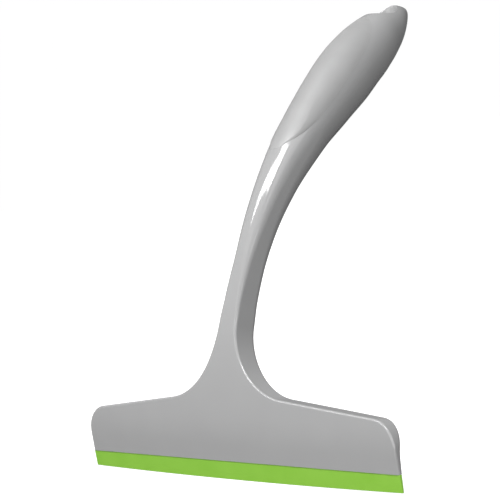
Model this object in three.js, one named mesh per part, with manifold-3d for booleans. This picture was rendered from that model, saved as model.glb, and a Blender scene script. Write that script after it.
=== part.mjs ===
// Window cleaning squeegee: a rigid two-piece handle with a flat head, a soft wiping lip trapped in the head,
// a soft thumb pad over the front of the grip, and four screws that hold the back cover on.
//
// Units are millimetres. X runs along the lip, Y goes from the front face to the back and Z is up.
// The origin is the centre of the flat land at the foot of the head's front face.
//
// The whole handle follows one front line in the YZ plane. A place on or inside it is given by three numbers:
// x across, s along the front line from the head's bottom edge, and e, the depth behind the front line.

import * as THREE from 'three';
import { mergeVertices } from 'three/addons/utils/BufferGeometryUtils.js';
import Module from 'manifold-3d';

const wasm = await Module();
wasm.setup();

// ---------------------------------------------------------------- driving dimensions

const HEAD_HALF = 120;          // half the width of the head and of the lip
const HANDLE_LENGTH = 303.5;    // from the head's bottom edge to the tip, along the front line
const LAND_HEIGHT = 8;          // the flat land at the foot of the head's front face
const GAP = 0.3;                // clearance between neighbouring pieces
const OVERSHOOT = 2;            // how far a cutting block reaches past what it cuts

// The front line is a chain of arcs. Each row is the distance along it and its lean from upright, in degrees.
const FRONT_LEAN = [
  [0, 0], [LAND_HEIGHT, 0], [22, 8.5], [55, 16.6], [70, 23.4], [90, 28], [115, 31.2],
  [140, 35.8], [170, 41.8], [200, 47.3], [230, 52.8], [262, 68.6], [290, 84.5], [HANDLE_LENGTH, 90],
];

// Full depth of the handle behind the front line.
const DEPTH = [
  [0, 3], [8, 4], [20, 7.4], [28, 10.2], [34, 11.4], [45, 12.6], [75, 14.2], [95, 14.6], [120, 15.9],
  [150, 19.8], [180, 25.6], [210, 31.8], [235, 34.6], [255, 33.5], [270, 30.6], [285, 25.2], [HANDLE_LENGTH, 11],
];

// The head in front view: upright ends, round corners, a top edge that rises to the neck and a wide fillet.
const CORNER_RADIUS = 14;
const FILLET_RADIUS = 40;
const TOP_SLOPE = 0.1045;
const TOP_AT_CENTRE = 36.7;     // where the two top edges would meet on the centre line

// Half the width of the neck and grip, above the fillet.
const HALF_WIDTH = [
  [72, 7], [85, 6.3], [100, 6.3], [125, 7.9], [150, 10], [180, 13], [210, 15.1], [235, 16.4],
  [255, 15.9], [270, 14.7], [285, 11.3], [HANDLE_LENGTH, 6],
];
const TIP_ROUNDING = 15;        // the length over which the tip closes
const TIP_POWER = 2.35;         // how full the tip stays as it closes

// Rounding of the long edges. It grows until the grip is a full oval.
const FRONT_ROUNDING = [[55, 1.1], [78, 2], [100, 3.5], [125, 5.5], [150, 8], [180, 12], [210, 18], [HANDLE_LENGTH, 18]];
const BACK_ROUNDING = [[60, 2.5], [100, 4], [150, 8], [180, 12], [210, 18], [HANDLE_LENGTH, 18]];
const ROUNDING_STEPS = 4;
const LEAST_ROUNDING = 0.3;
const LEAST_SIDE = 0.1;         // the upright stretch that is always left between front and back roundings

// Walls, cavity and back cover.
const HEAD_WALL = 2;
const GRIP_WALL = 4.4;
const COVER_THICKNESS = 2.2;
const COVER_MARGIN = 2.6;       // from the outline to the cover's edge on the head and neck
const COVER_MARGIN_RATIO = 0.32; // the same on the grip, as a share of the half width
const COVER_START_ON_GRIP = 75; // above here the edge moves in as the grip widens
const COVER_END = 262;
const COVER_END_ROUNDING = 12;
const LEDGE = 1.2;              // how far the cavity stays inside the cover's edge
const CAVITY_END = COVER_END - 4;
const LEAST_CAVITY = 0.6;       // least half width of the hollow, where it ends under the cover's round top
const GRIP_WALL_START = 120;    // below here the wall is as thin as the head's
const RIBS = { places: [32, 49, 84, 101], half: 0.7 };

// The lip, and the jaw that holds it at the foot of the head.
const JAW_HEIGHT = 12.4;
const JAW_SPLIT = 2.2;          // depth at which the cover meets the body inside the jaw
const SLOT = { front: 0.8, back: 2.2 };
const WEB = { front: 1.1, back: 1.9 };
const BEAD = { s: 10, e: 2.2, radius: 1 };
const BEAD_POCKET_RADIUS = BEAD.radius + GAP;
const LIP_HINGE = { s: -1.1, e: 1.1 };
const LIP_TOP_RADIUS = 0.8;
const LIP_DROP = 8.6;           // visible height of the lip at its ends
const LIP_ARCH = 1.1;           // how much deeper it is in the middle
const LIP_EDGE = { front: 0.4, back: 1.3 };
const END_WALL = 3.4;

// The soft pad over the front of the grip. Each row is the distance along the front line and how far
// behind it the pad's edge runs there, down the sides of the grip.
const PAD_EDGE = [
  [167.2, 0], [170.5, 0.95], [175.5, 3.4], [181.4, 6], [191.3, 8.8], [210, 11.2], [230, 11.2], [250, 8.8],
  [262, 4], [269, 0],
];
const PAD_START = PAD_EDGE[0][0];
const PAD_END = PAD_EDGE[PAD_EDGE.length - 1][0];
const PAD_END_ROUNDING = 8;     // the length over which its rows are set closer at either end
const PAD_COLUMNS = 16;
const PAD_ROW_STEP = 5;
const PAD_DEPTH = 1.6;
const PAD_PROUD = 0.5;

// The hanging hole, upright through the tip, and the ball-shaped dish around its mouth.
const HOLE = { s: 284, halfX: 5, halfY: 5.6 };
const DISH = { halfX: 8.4, halfY: 9.8, halfZ: 12, rise: 1 };

// Countersunk screws, driven in from the back: the place of each one on the cover.
const SCREWS = [
  { name: 'screw_head_left', x: -66, s: 21, length: 5 },
  { name: 'screw_head_right', x: 66, s: 21, length: 5 },
  { name: 'screw_neck', x: 0, s: 47, length: 8 },
  { name: 'screw_grip', x: 0, s: 205, length: 14 },
];
const SCREW_HEAD_RADIUS = 2.8;
const SCREW_HEAD_HEIGHT = 1.6;
const SCREW_SHANK_RADIUS = 1.4;
const SCREW_SINK = 0.3;         // how far the head lies under the cover's surface
const SCREW_RIM = 0.2;          // the upright edge of the head
const SCREW_POINT = 1.5;
const SCREW_CROSS = { long: 3.2, wide: 0.7, deep: 0.9 };
const BOSS_WALL = 2;

// ---------------------------------------------------------------- curves

function between(table, s) {
  const after = table.findIndex(([at]) => at > s);
  if (after < 0) return table[table.length - 1][1];
  if (after === 0) return table[0][1];
  const [s0, v0] = table[after - 1];
  const [s1, v1] = table[after];
  return v0 + (v1 - v0) * (s - s0) / (s1 - s0);
}

// A smooth curve through a table's points that never overshoots them.
function smoothThrough(table) {
  const count = table.length;
  const rise = [];
  for (let i = 0; i + 1 < count; i += 1) {
    rise.push((table[i + 1][1] - table[i][1]) / (table[i + 1][0] - table[i][0]));
  }
  const slope = table.map((row, i) => {
    if (i === 0) return rise[0];
    if (i === count - 1) return rise[count - 2];
    return rise[i - 1] * rise[i] <= 0 ? 0 : 2 * rise[i - 1] * rise[i] / (rise[i - 1] + rise[i]);
  });
  return (s) => {
    if (s <= table[0][0]) return table[0][1];
    if (s >= table[count - 1][0]) return table[count - 1][1];
    const i = table.findIndex(([at]) => at > s) - 1;
    const span = table[i + 1][0] - table[i][0];
    const t = (s - table[i][0]) / span;
    const near = (1 + 2 * t) * (1 - t) ** 2 * table[i][1] + t * t * (3 - 2 * t) * table[i + 1][1];
    return near + span * (t * (1 - t) ** 2 * slope[i] - t * t * (1 - t) * slope[i + 1]);
  };
}

const depthAt = smoothThrough(DEPTH);
const gripHalfAt = smoothThrough(HALF_WIDTH);
const frontRoundingAt = smoothThrough(FRONT_ROUNDING);
const backRoundingAt = smoothThrough(BACK_ROUNDING);
const padEdgeAt = smoothThrough(PAD_EDGE);

// The quarter-round end of an outline: 0 at its end, 1 from `length` inwards.
function roundEnd(inside, length) {
  const t = Math.min(1, Math.max(0, inside / length));
  return Math.sqrt(1 - (1 - t) ** 2);
}

function leanAt(s) {
  return THREE.MathUtils.degToRad(between(FRONT_LEAN, s));
}

// The front line's place in the YZ plane, adding up the arcs below s.
function frontLineAt(s) {
  let y = 0;
  let z = -LAND_HEIGHT / 2 + Math.min(s, 0);
  for (let i = 0; i + 1 < FRONT_LEAN.length; i += 1) {
    const start = FRONT_LEAN[i][0];
    const end = Math.min(FRONT_LEAN[i + 1][0], s);
    if (end <= start) break;
    const lean0 = leanAt(start);
    const lean1 = leanAt(end);
    if (Math.abs(lean1 - lean0) < 1e-9) {
      y += Math.sin(lean0) * (end - start);
      z += Math.cos(lean0) * (end - start);
    } else {
      const radius = (end - start) / (lean1 - lean0);
      y += radius * (Math.cos(lean0) - Math.cos(lean1));
      z += radius * (Math.sin(lean1) - Math.sin(lean0));
    }
  }
  return { y, z };
}

// From (x, s, e) to a point in space.
function place(x, s, e) {
  const front = frontLineAt(s);
  const lean = leanAt(s);
  return new THREE.Vector3(x, front.y + e * Math.cos(lean), front.z - e * Math.sin(lean));
}

// How much of the section is left as the tip closes: 1 along the handle, 0 at the tip.
function tipShare(s) {
  const into = Math.max(0, (s - HANDLE_LENGTH + TIP_ROUNDING) / TIP_ROUNDING);
  return Math.sqrt(Math.max(0, 1 - into ** TIP_POWER));
}

// ---------------------------------------------------------------- the handle's outline in front view

// One place on the outline, with the direction that points straight out of it.
function outlinePlace(x, s, outX = 1, outS = 0) {
  return { x, s, outX, outS };
}

// Places round an arc. A hollow arc has its centre outside the handle, so out is towards the centre.
function arcPlaces(cx, cs, radius, from, to, steps, hollow = false) {
  const places = [];
  for (let i = 0; i <= steps; i += 1) {
    const angle = from + (to - from) * i / steps;
    const out = hollow ? -1 : 1;
    places.push(outlinePlace(
      cx + radius * Math.cos(angle),
      cs + radius * Math.sin(angle),
      out * Math.cos(angle),
      out * Math.sin(angle),
    ));
  }
  return places;
}

// The right-hand half, from the bottom corner of the head up to the tip. Above the fillet the sections
// are square to the front line, so out is straight along X there.
function rightOutline() {
  const slopeAngle = Math.atan(TOP_SLOPE);
  const neckHalf = HALF_WIDTH[0][1];
  const topAt = (x) => TOP_AT_CENTRE - TOP_SLOPE * x;
  const cornerX = HEAD_HALF - CORNER_RADIUS;
  const cornerS = topAt(cornerX) - CORNER_RADIUS / Math.cos(slopeAngle);
  const filletX = neckHalf + FILLET_RADIUS;
  const filletS = topAt(filletX) + FILLET_RADIUS / Math.cos(slopeAngle);
  const quarter = Math.PI / 2;
  const places = [outlinePlace(HEAD_HALF, 0), outlinePlace(HEAD_HALF, cornerS / 2)];
  places.push(...arcPlaces(cornerX, cornerS, CORNER_RADIUS, 0, quarter - slopeAngle, 5));
  places.push(...arcPlaces(filletX, filletS, FILLET_RADIUS, -quarter - slopeAngle, -2 * quarter, 7, true));
  const closeStart = HANDLE_LENGTH - TIP_ROUNDING;
  const rows = 24;
  for (let i = 1; i <= rows; i += 1) {
    const s = filletS + (closeStart - filletS) * i / rows;
    places.push(outlinePlace(gripHalfAt(s), s));
  }
  const tipRows = 5;
  for (let i = 1; i <= tipRows; i += 1) {
    const s = closeStart + TIP_ROUNDING * Math.sin(quarter * i / tipRows);
    places.push(outlinePlace(gripHalfAt(s) * tipShare(s), s));
  }
  return places;
}

const OUTLINE = rightOutline();

// Half the width at s of the outline moved inwards by margin(s).
function insetHalf(margin) {
  const table = OUTLINE.map(({ x, s, outX, outS }) => {
    const inset = margin(s);
    return [s - inset * outS, Math.max(0, x - inset * outX)];
  });
  return (s) => between(table, s);
}

// ---------------------------------------------------------------- solids

function toManifold(geometry) {
  const bare = new THREE.BufferGeometry();
  bare.setAttribute('position', geometry.getAttribute('position').clone());
  if (geometry.index) bare.setIndex(geometry.index.clone());
  const merged = mergeVertices(bare, 1e-5);
  const index = [];
  for (let i = 0; i < merged.index.count; i += 3) {
    const [a, b, c] = [0, 1, 2].map((k) => merged.index.getX(i + k));
    if (a !== b && b !== c && c !== a) index.push(a, b, c);
  }
  return new wasm.Manifold(new wasm.Mesh({
    numProp: 3,
    vertProperties: new Float32Array(merged.getAttribute('position').array),
    triVerts: new Uint32Array(index),
  }));
}

function toMesh(solid, name, material) {
  const data = solid.getMesh();
  const geometry = new THREE.BufferGeometry();
  geometry.setAttribute('position', new THREE.BufferAttribute(new Float32Array(data.vertProperties), 3));
  geometry.setIndex(new THREE.BufferAttribute(new Uint32Array(data.triVerts), 1));
  const mesh = new THREE.Mesh(geometry, material);
  mesh.name = name;
  return mesh;
}

// Skins a row of closed loops that all have the same number of points, and closes both ends.
function skin(loops) {
  const size = loops[0].length;
  const positions = loops.flat().flatMap((point) => [point.x, point.y, point.z]);
  const index = [];
  for (let row = 0; row + 1 < loops.length; row += 1) {
    for (let i = 0; i < size; i += 1) {
      const a = row * size + i;
      const b = row * size + (i + 1) % size;
      index.push(a, b, a + size, b, b + size, a + size);
    }
  }
  const last = (loops.length - 1) * size;
  for (let i = 1; i + 1 < size; i += 1) {
    index.push(0, i + 1, i);
    index.push(last, last + i, last + i + 1);
  }
  const geometry = new THREE.BufferGeometry();
  geometry.setAttribute('position', new THREE.Float32BufferAttribute(positions, 3));
  geometry.setIndex(index);
  return toManifold(geometry);
}

// One loop of the handle's skin: from the front middle round the right side to the back, then the left side.
function handleLoop(outline, inset) {
  const half = Math.max(0, outline.x - inset * outline.outX);
  const depth = depthAt(outline.s);
  const radius = (rounding) => Math.max(rounding(outline.s) - inset, LEAST_ROUNDING);
  const right = [];
  const add = (rounding, angle, back) => {
    const sideReach = Math.min(radius(rounding), half);
    const depthReach = Math.min(radius(rounding), depth / 2 - inset - LEAST_SIDE);
    const inwards = inset + sideReach * (1 - Math.cos(angle));
    const s = outline.s - inwards * outline.outS;
    const x = Math.max(0, outline.x - inwards * outline.outX);
    const fromFace = inset + depthReach * (1 - Math.sin(angle));
    const full = depthAt(s);
    const e = back ? full - fromFace : fromFace;
    right.push([x, s, full / 2 + (e - full / 2) * tipShare(s)]);
  };
  for (let k = ROUNDING_STEPS; k >= 0; k -= 1) {
    add(frontRoundingAt, Math.PI / 2 * k / ROUNDING_STEPS, false);
  }
  for (let k = 0; k <= ROUNDING_STEPS; k += 1) {
    add(backRoundingAt, Math.PI / 2 * k / ROUNDING_STEPS, true);
  }
  const mirrored = right.map(([x, s, e]) => [-x, s, e]).reverse();
  return [...right, ...mirrored].map(([x, s, e]) => place(x, s, e));
}

// The solid handle and head, with its skin moved inwards by inset (outwards when inset is negative).
function handleSolid(inset) {
  return skin(OUTLINE.map((outline) => handleLoop(outline, inset)));
}

// A row of places along the front line, closer together over a rounded foot and a rounded top.
function rowsBetween(from, to, step, foot = 0, top = 0) {
  const rows = [];
  const rounds = 5;
  for (let i = 0; foot > 0 && i < rounds; i += 1) {
    rows.push(from + foot * (1 - Math.cos(Math.PI / 2 * i / rounds)));
  }
  const count = Math.max(1, Math.ceil((to - top - from - foot) / step));
  for (let i = 0; i <= count; i += 1) {
    rows.push(from + foot + (to - top - from - foot) * i / count);
  }
  for (let i = 1; top > 0 && i <= rounds; i += 1) {
    rows.push(to - top * (1 - Math.sin(Math.PI / 2 * i / rounds)));
  }
  return rows;
}

// A block that follows the front line: half(s) wide each way, from depth low(s) to high(s).
function slab({ from, to, half, low, high, step = 6, foot = 0, top = 0 }) {
  const loops = [];
  for (const s of rowsBetween(from, to, step, foot, top)) {
    loops.push([
      place(half(s), s, low(s)),
      place(half(s), s, high(s)),
      place(-half(s), s, high(s)),
      place(-half(s), s, low(s)),
    ]);
  }
  return skin(loops);
}

// Stands a geometry on the handle: its own Y axis points out of the back, its Z axis up the handle.
function standAt(geometry, x, s, e) {
  const lean = leanAt(s);
  const matrix = new THREE.Matrix4().makeBasis(
    new THREE.Vector3(1, 0, 0),
    new THREE.Vector3(0, Math.cos(lean), -Math.sin(lean)),
    new THREE.Vector3(0, Math.sin(lean), Math.cos(lean)),
  );
  return geometry.applyMatrix4(matrix.setPosition(place(x, s, e)));
}

// A round bar along the local Y axis between two heights.
function roundBar(radius, from, to, sides = 16) {
  return new THREE.CylinderGeometry(radius, radius, to - from, sides).translate(0, (from + to) / 2, 0);
}

// ---------------------------------------------------------------- materials

function greyPlastic() {
  return new THREE.MeshStandardMaterial({ color: 0x8f8f8f, roughness: 0.32, metalness: 0 });
}

function padRubber() {
  return new THREE.MeshStandardMaterial({ color: 0x969696, roughness: 0.6, metalness: 0 });
}

function greenRubber() {
  return new THREE.MeshStandardMaterial({ color: 0x6cc01a, roughness: 0.5, metalness: 0 });
}

function screwSteel() {
  return new THREE.MeshStandardMaterial({ color: 0xb8babd, roughness: 0.3, metalness: 1 });
}

// ---------------------------------------------------------------- shared regions

const always = (value) => () => value;
const outside = (s) => depthAt(s) + 3 * OVERSHOOT;

function coverMargin(s) {
  if (s < COVER_START_ON_GRIP) return COVER_MARGIN;
  return Math.max(COVER_MARGIN, COVER_MARGIN_RATIO * gripHalfAt(s));
}

const plateHalfAt = insetHalf(coverMargin);

function coverHalfAt(s) {
  return plateHalfAt(s) * roundEnd(COVER_END - s, COVER_END_ROUNDING);
}

function cavityHalfAt(s) {
  return Math.max(LEAST_CAVITY, coverHalfAt(s) - LEDGE);
}

// Everything the back cover may fill, grown outwards by `slack` on every side that faces the body.
function coverRegion(slack) {
  const half = (s) => Math.min(Math.max(GAP, coverHalfAt(s - slack)) + slack, HEAD_HALF - END_WALL + slack);
  const jaw = slab({
    from: -OVERSHOOT, to: JAW_HEIGHT + slack, half: always(HEAD_HALF - END_WALL + slack),
    low: always(JAW_SPLIT - slack), high: outside,
  });
  const plate = slab({
    from: JAW_HEIGHT - OVERSHOOT, to: COVER_END + slack, half,
    low: (s) => depthAt(s) / 2, high: outside, step: 4, top: COVER_END_ROUNDING,
  });
  const core = handleSolid(COVER_THICKNESS + slack);
  const cutCore = core.subtract(slab({
    from: -OVERSHOOT, to: JAW_HEIGHT - GAP, half: always(HEAD_HALF + OVERSHOOT), low: always(-OVERSHOOT),
    high: outside,
  }));
  return jaw.add(plate.subtract(cutCore));
}

// The hollow that takes the lip's web and bead.
function jawHollow() {
  const length = 2 * (HEAD_HALF - END_WALL);
  const pocket = new THREE.CylinderGeometry(BEAD_POCKET_RADIUS, BEAD_POCKET_RADIUS, length, 12);
  pocket.rotateZ(Math.PI / 2);
  const centre = place(0, BEAD.s, BEAD.e);
  pocket.translate(0, centre.y, centre.z);
  const slot = slab({
    from: -OVERSHOOT, to: BEAD.s, half: always(HEAD_HALF - END_WALL), low: always(SLOT.front),
    high: always(SLOT.back),
  });
  return slot.add(toManifold(pocket));
}

// The hollow inside the handle, open to the back so that it draws straight out of a mould.
function cavity() {
  const wall = (s) => (s < GRIP_WALL_START ? HEAD_WALL : GRIP_WALL);
  const block = slab({
    from: JAW_HEIGHT, to: CAVITY_END, half: cavityHalfAt, low: wall, high: outside, step: 5,
  });
  const grip = slab({
    from: GRIP_WALL_START, to: HANDLE_LENGTH, half: always(HEAD_HALF), low: always(-OVERSHOOT), high: outside,
  });
  return block.subtract(grip.subtract(handleSolid(GRIP_WALL)));
}

function screwAxisStart(screw) {
  return depthAt(screw.s) - SCREW_SINK;
}

function bosses() {
  return SCREWS.map((screw) => {
    const top = depthAt(screw.s) - COVER_THICKNESS - GAP;
    const post = roundBar(SCREW_SHANK_RADIUS + GAP + BOSS_WALL, 1 - top, 0);
    return toManifold(standAt(post, screw.x, screw.s, top));
  });
}

// The clearance a screw needs through the cover and into its boss.
function screwHole(screw) {
  const head = new THREE.LatheGeometry([
    new THREE.Vector2(0, -SCREW_HEAD_HEIGHT - GAP),
    new THREE.Vector2(SCREW_SHANK_RADIUS + GAP, -SCREW_HEAD_HEIGHT - GAP),
    new THREE.Vector2(SCREW_HEAD_RADIUS + GAP, -SCREW_RIM),
    new THREE.Vector2(SCREW_HEAD_RADIUS + GAP, SCREW_HEAD_RADIUS),
    new THREE.Vector2(0, SCREW_HEAD_RADIUS),
  ], 20);
  const bore = roundBar(SCREW_SHANK_RADIUS + GAP, -screw.length - GAP, -1, 20);
  const e = screwAxisStart(screw);
  const headCut = toManifold(standAt(head, screw.x, screw.s, e));
  return headCut.add(toManifold(standAt(bore, screw.x, screw.s, e)));
}

// Short cross walls that stiffen the two wings of the head.
function wingRibs() {
  const ribs = [];
  for (const side of [-1, 1]) {
    for (const x of RIBS.places) {
      const rib = slab({
        from: JAW_HEIGHT - 1, to: TOP_AT_CENTRE - TOP_SLOPE * x, half: always(RIBS.half), low: always(1),
        high: (s) => depthAt(s) - COVER_THICKNESS - GAP,
      });
      ribs.push(rib.translate([side * x, 0, 0]));
    }
  }
  return ribs;
}

// The front half of a section: a flat middle, then a quarter oval on either side.
function frontCorner(s) {
  const half = gripHalfAt(s);
  const across = Math.min(frontRoundingAt(s), half);
  const deep = Math.min(frontRoundingAt(s), depthAt(s) / 2 - LEAST_SIDE);
  return { flat: half - across, across, deep, around: (across + deep) / 2 };
}

// A place on the front of the grip: q from the centre line, measured round the section, and `lift` off it.
function frontPlace(q, s, lift) {
  const { flat, across, deep, around } = frontCorner(s);
  const beyond = Math.abs(q) - flat;
  const turn = Math.max(0, beyond) / around;
  const outX = deep * Math.sin(turn);
  const outE = -across * Math.cos(turn);
  const size = Math.hypot(outX, outE);
  const x = Math.min(Math.abs(q), flat) + across * Math.sin(turn) + lift * outX / size;
  const e = deep * (1 - Math.cos(turn)) + lift * outE / size;
  return place(q < 0 ? -x : x, s, e);
}

// How far from the centre line the pad's edge is, measured round the section.
function padReach(s) {
  const { flat, deep, around } = frontCorner(s);
  return Math.max(GAP, flat + around * Math.acos(1 - padEdgeAt(s) / deep));
}

// The pad's shape: `slack` wider all round, from `lift` above the grip's skin to `depth` under it.
function padShape(slack, lift, depth) {
  const loops = [];
  for (const s of rowsBetween(PAD_START, PAD_END, PAD_ROW_STEP, PAD_END_ROUNDING, PAD_END_ROUNDING)) {
    const towardsEnd = 2 * (s - PAD_START) / (PAD_END - PAD_START) - 1;
    const row = s + slack * towardsEnd;
    const reach = padReach(s) + slack;
    const loop = [];
    for (let i = 0; i <= PAD_COLUMNS; i += 1) {
      loop.push(frontPlace(reach * (1 - 2 * i / PAD_COLUMNS), row, -depth));
    }
    for (let i = 0; i <= PAD_COLUMNS; i += 1) {
      loop.push(frontPlace(reach * (2 * i / PAD_COLUMNS - 1), row, lift));
    }
    loops.push(loop);
  }
  return skin(loops);
}

function hangingHole() {
  const centre = place(0, HOLE.s, 0);
  const bar = new THREE.CylinderGeometry(1, 1, 80, 28);
  bar.rotateX(Math.PI / 2);
  bar.scale(HOLE.halfX, HOLE.halfY, 1);
  bar.translate(0, centre.y, centre.z);
  const dish = new THREE.SphereGeometry(1, 28, 20);
  dish.scale(DISH.halfX, DISH.halfY, DISH.halfZ);
  dish.translate(0, centre.y, centre.z + DISH.rise);
  return toManifold(bar).add(toManifold(dish));
}

// ---------------------------------------------------------------- pieces

function handleBody() {
  let hollow = cavity();
  for (const solid of [...bosses(), ...wingRibs()]) {
    hollow = hollow.subtract(solid);
  }
  let body = handleSolid(0)
    .subtract(hollow)
    .subtract(coverRegion(GAP))
    .subtract(jawHollow())
    .subtract(padShape(GAP, PAD_PROUD + OVERSHOOT, PAD_DEPTH + GAP))
    .subtract(hangingHole());
  for (const screw of SCREWS) {
    body = body.subtract(screwHole(screw));
  }
  return toMesh(body, 'handle_body', greyPlastic());
}

function backCover() {
  let cover = handleSolid(0)
    .intersect(coverRegion(0))
    .subtract(jawHollow());
  for (const screw of SCREWS) {
    cover = cover.subtract(screwHole(screw));
  }
  return toMesh(cover, 'back_cover', greyPlastic());
}

function thumbPad() {
  return toMesh(padShape(0, PAD_PROUD, PAD_DEPTH), 'thumb_pad', padRubber());
}

// The part of the lip that stays in the jaw: a flat web and the bead that keeps it from pulling out.
function lipRoot() {
  const web = slab({
    from: 0, to: BEAD.s, half: always(HEAD_HALF - END_WALL - GAP),
    low: always(WEB.front), high: always(WEB.back),
  });
  const bead = new THREE.CylinderGeometry(BEAD.radius, BEAD.radius, 2 * (HEAD_HALF - END_WALL - GAP), 12);
  bead.rotateZ(Math.PI / 2);
  const centre = place(0, BEAD.s, BEAD.e);
  bead.translate(0, centre.y, centre.z);
  return toMesh(web.add(toManifold(bead)), 'lip_root', greenRubber());
}

// The free part of the lip: round at the top, where it bends, and thin at its arched wiping edge.
function wiperLip() {
  const hinge = place(0, LIP_HINGE.s, LIP_HINGE.e);
  const columns = 16;
  const loops = [];
  for (let i = 0; i <= columns; i += 1) {
    const across = -1 + 2 * i / columns;
    const edgeZ = -LAND_HEIGHT / 2 - LIP_DROP - LIP_ARCH * (1 - across * across);
    const x = across * HEAD_HALF;
    const loop = [];
    for (const angle of [180, 150, 120, 90, 60, 30, 0]) {
      const turn = THREE.MathUtils.degToRad(angle);
      const y = hinge.y + LIP_TOP_RADIUS * Math.cos(turn);
      loop.push(new THREE.Vector3(x, y, hinge.z + LIP_TOP_RADIUS * Math.sin(turn)));
    }
    loop.push(new THREE.Vector3(x, LIP_EDGE.back, edgeZ));
    loop.push(new THREE.Vector3(x, LIP_EDGE.front, edgeZ));
    loops.push(loop.reverse());
  }
  return toMesh(skin(loops), 'wiper_lip', greenRubber());
}

// A countersunk screw with a cross recess.
function screwPiece(screw) {
  const profile = new THREE.LatheGeometry([
    new THREE.Vector2(0, -screw.length),
    new THREE.Vector2(SCREW_SHANK_RADIUS, SCREW_POINT - screw.length),
    new THREE.Vector2(SCREW_SHANK_RADIUS, -SCREW_HEAD_HEIGHT),
    new THREE.Vector2(SCREW_HEAD_RADIUS, -SCREW_RIM),
    new THREE.Vector2(SCREW_HEAD_RADIUS, 0),
    new THREE.Vector2(0, 0),
  ], 20);
  const { long, wide, deep } = SCREW_CROSS;
  const across = new THREE.BoxGeometry(long, 2 * deep, wide);
  const down = new THREE.BoxGeometry(wide, 2 * deep, long);
  const e = screwAxisStart(screw);
  const solid = toManifold(standAt(profile, screw.x, screw.s, e))
    .subtract(toManifold(standAt(across, screw.x, screw.s, e)))
    .subtract(toManifold(standAt(down, screw.x, screw.s, e)));
  return toMesh(solid, screw.name, screwSteel());
}

function squeegee() {
  const group = new THREE.Group();
  group.name = 'window_squeegee';
  group.add(handleBody(), backCover(), thumbPad(), lipRoot(), wiperLip());
  group.add(...SCREWS.map(screwPiece));
  return group;
}

export default squeegee();
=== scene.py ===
# Window cleaning squeegee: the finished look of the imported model.
#
# Units are metres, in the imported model's own frame: X runs along the lip, Y goes from the front face to the
# back and Z is up. The origin is the centre of the flat land at the foot of the head's front face.
#
# The handle follows one front line in the YZ plane. A place on it is given by three numbers:
# x across, s along the front line from the head's bottom edge, and e, the depth behind the front line.
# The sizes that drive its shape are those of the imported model's source, in metres.

import math
from functools import lru_cache

import bmesh
import bpy
from mathutils import Matrix, Vector


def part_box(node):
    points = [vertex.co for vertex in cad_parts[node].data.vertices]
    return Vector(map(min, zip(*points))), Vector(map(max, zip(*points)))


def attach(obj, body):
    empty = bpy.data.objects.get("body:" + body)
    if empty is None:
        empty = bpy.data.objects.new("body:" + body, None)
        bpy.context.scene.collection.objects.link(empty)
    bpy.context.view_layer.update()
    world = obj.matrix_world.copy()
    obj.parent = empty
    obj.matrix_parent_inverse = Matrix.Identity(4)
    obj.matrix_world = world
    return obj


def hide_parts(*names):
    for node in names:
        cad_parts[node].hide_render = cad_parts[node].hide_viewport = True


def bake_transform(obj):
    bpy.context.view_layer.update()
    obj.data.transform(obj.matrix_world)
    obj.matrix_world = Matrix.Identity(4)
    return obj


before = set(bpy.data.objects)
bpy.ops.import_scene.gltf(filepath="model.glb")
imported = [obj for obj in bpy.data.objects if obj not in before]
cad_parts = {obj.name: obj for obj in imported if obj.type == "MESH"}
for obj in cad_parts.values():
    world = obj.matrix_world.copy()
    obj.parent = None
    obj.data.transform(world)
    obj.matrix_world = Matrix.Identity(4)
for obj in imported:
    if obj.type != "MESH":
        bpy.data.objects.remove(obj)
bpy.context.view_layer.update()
body_low, body_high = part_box("handle_body")
lip_low, lip_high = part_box("wiper_lip")
root_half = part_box("lip_root")[1].x

# ---------------------------------------------------------------- driving dimensions

HEAD_HALF = body_high.x
HEAD_BOTTOM = body_low.z
HANDLE_LENGTH = 0.3035
LAND_HEIGHT = 0.008

# The front line is a chain of arcs: the distance along it and its lean from upright, in degrees.
FRONT_LEAN = [
    (0, 0), (LAND_HEIGHT, 0), (0.022, 8.5), (0.055, 16.6), (0.070, 23.4), (0.090, 28), (0.115, 31.2),
    (0.140, 35.8), (0.170, 41.8), (0.200, 47.3), (0.230, 52.8), (0.262, 68.6), (0.290, 84.5),
    (HANDLE_LENGTH, 90),
]

# Full depth of the handle behind the front line.
DEPTH = [
    (0, 0.003), (0.008, 0.004), (0.020, 0.0074), (0.028, 0.0102), (0.034, 0.0114), (0.045, 0.0126),
    (0.075, 0.0142), (0.095, 0.0146), (0.120, 0.0159), (0.150, 0.0198), (0.180, 0.0256), (0.210, 0.0318),
    (0.235, 0.0346), (0.255, 0.0335), (0.270, 0.0306), (0.285, 0.0252), (HANDLE_LENGTH, 0.011),
]

# Half the width of the neck and grip, above the fillet.
HALF_WIDTH = [
    (0.072, 0.007), (0.085, 0.0063), (0.100, 0.0063), (0.125, 0.0079), (0.150, 0.010), (0.180, 0.013),
    (0.210, 0.0151), (0.235, 0.0164), (0.255, 0.0159), (0.270, 0.0147), (0.285, 0.0113),
    (HANDLE_LENGTH, 0.006),
]

# Rounding of the long edges. It grows until the grip is a full oval.
FRONT_ROUNDING = [
    (0.055, 0.0011), (0.078, 0.002), (0.100, 0.0035), (0.125, 0.0055), (0.150, 0.008), (0.180, 0.012),
    (0.210, 0.018),
]
BACK_ROUNDING = [(0.060, 0.0025), (0.100, 0.004), (0.150, 0.008), (0.180, 0.012), (0.210, 0.018)]

# The head in front view: upright ends, round corners, a top edge that rises to the neck and a wide fillet.
CORNER_RADIUS = 0.014
FILLET_RADIUS = 0.040
TOP_SLOPE = 0.1045
TOP_AT_CENTRE = 0.0367
TIP_ROUNDING = 0.015
TIP_POWER = 2.35

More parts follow.
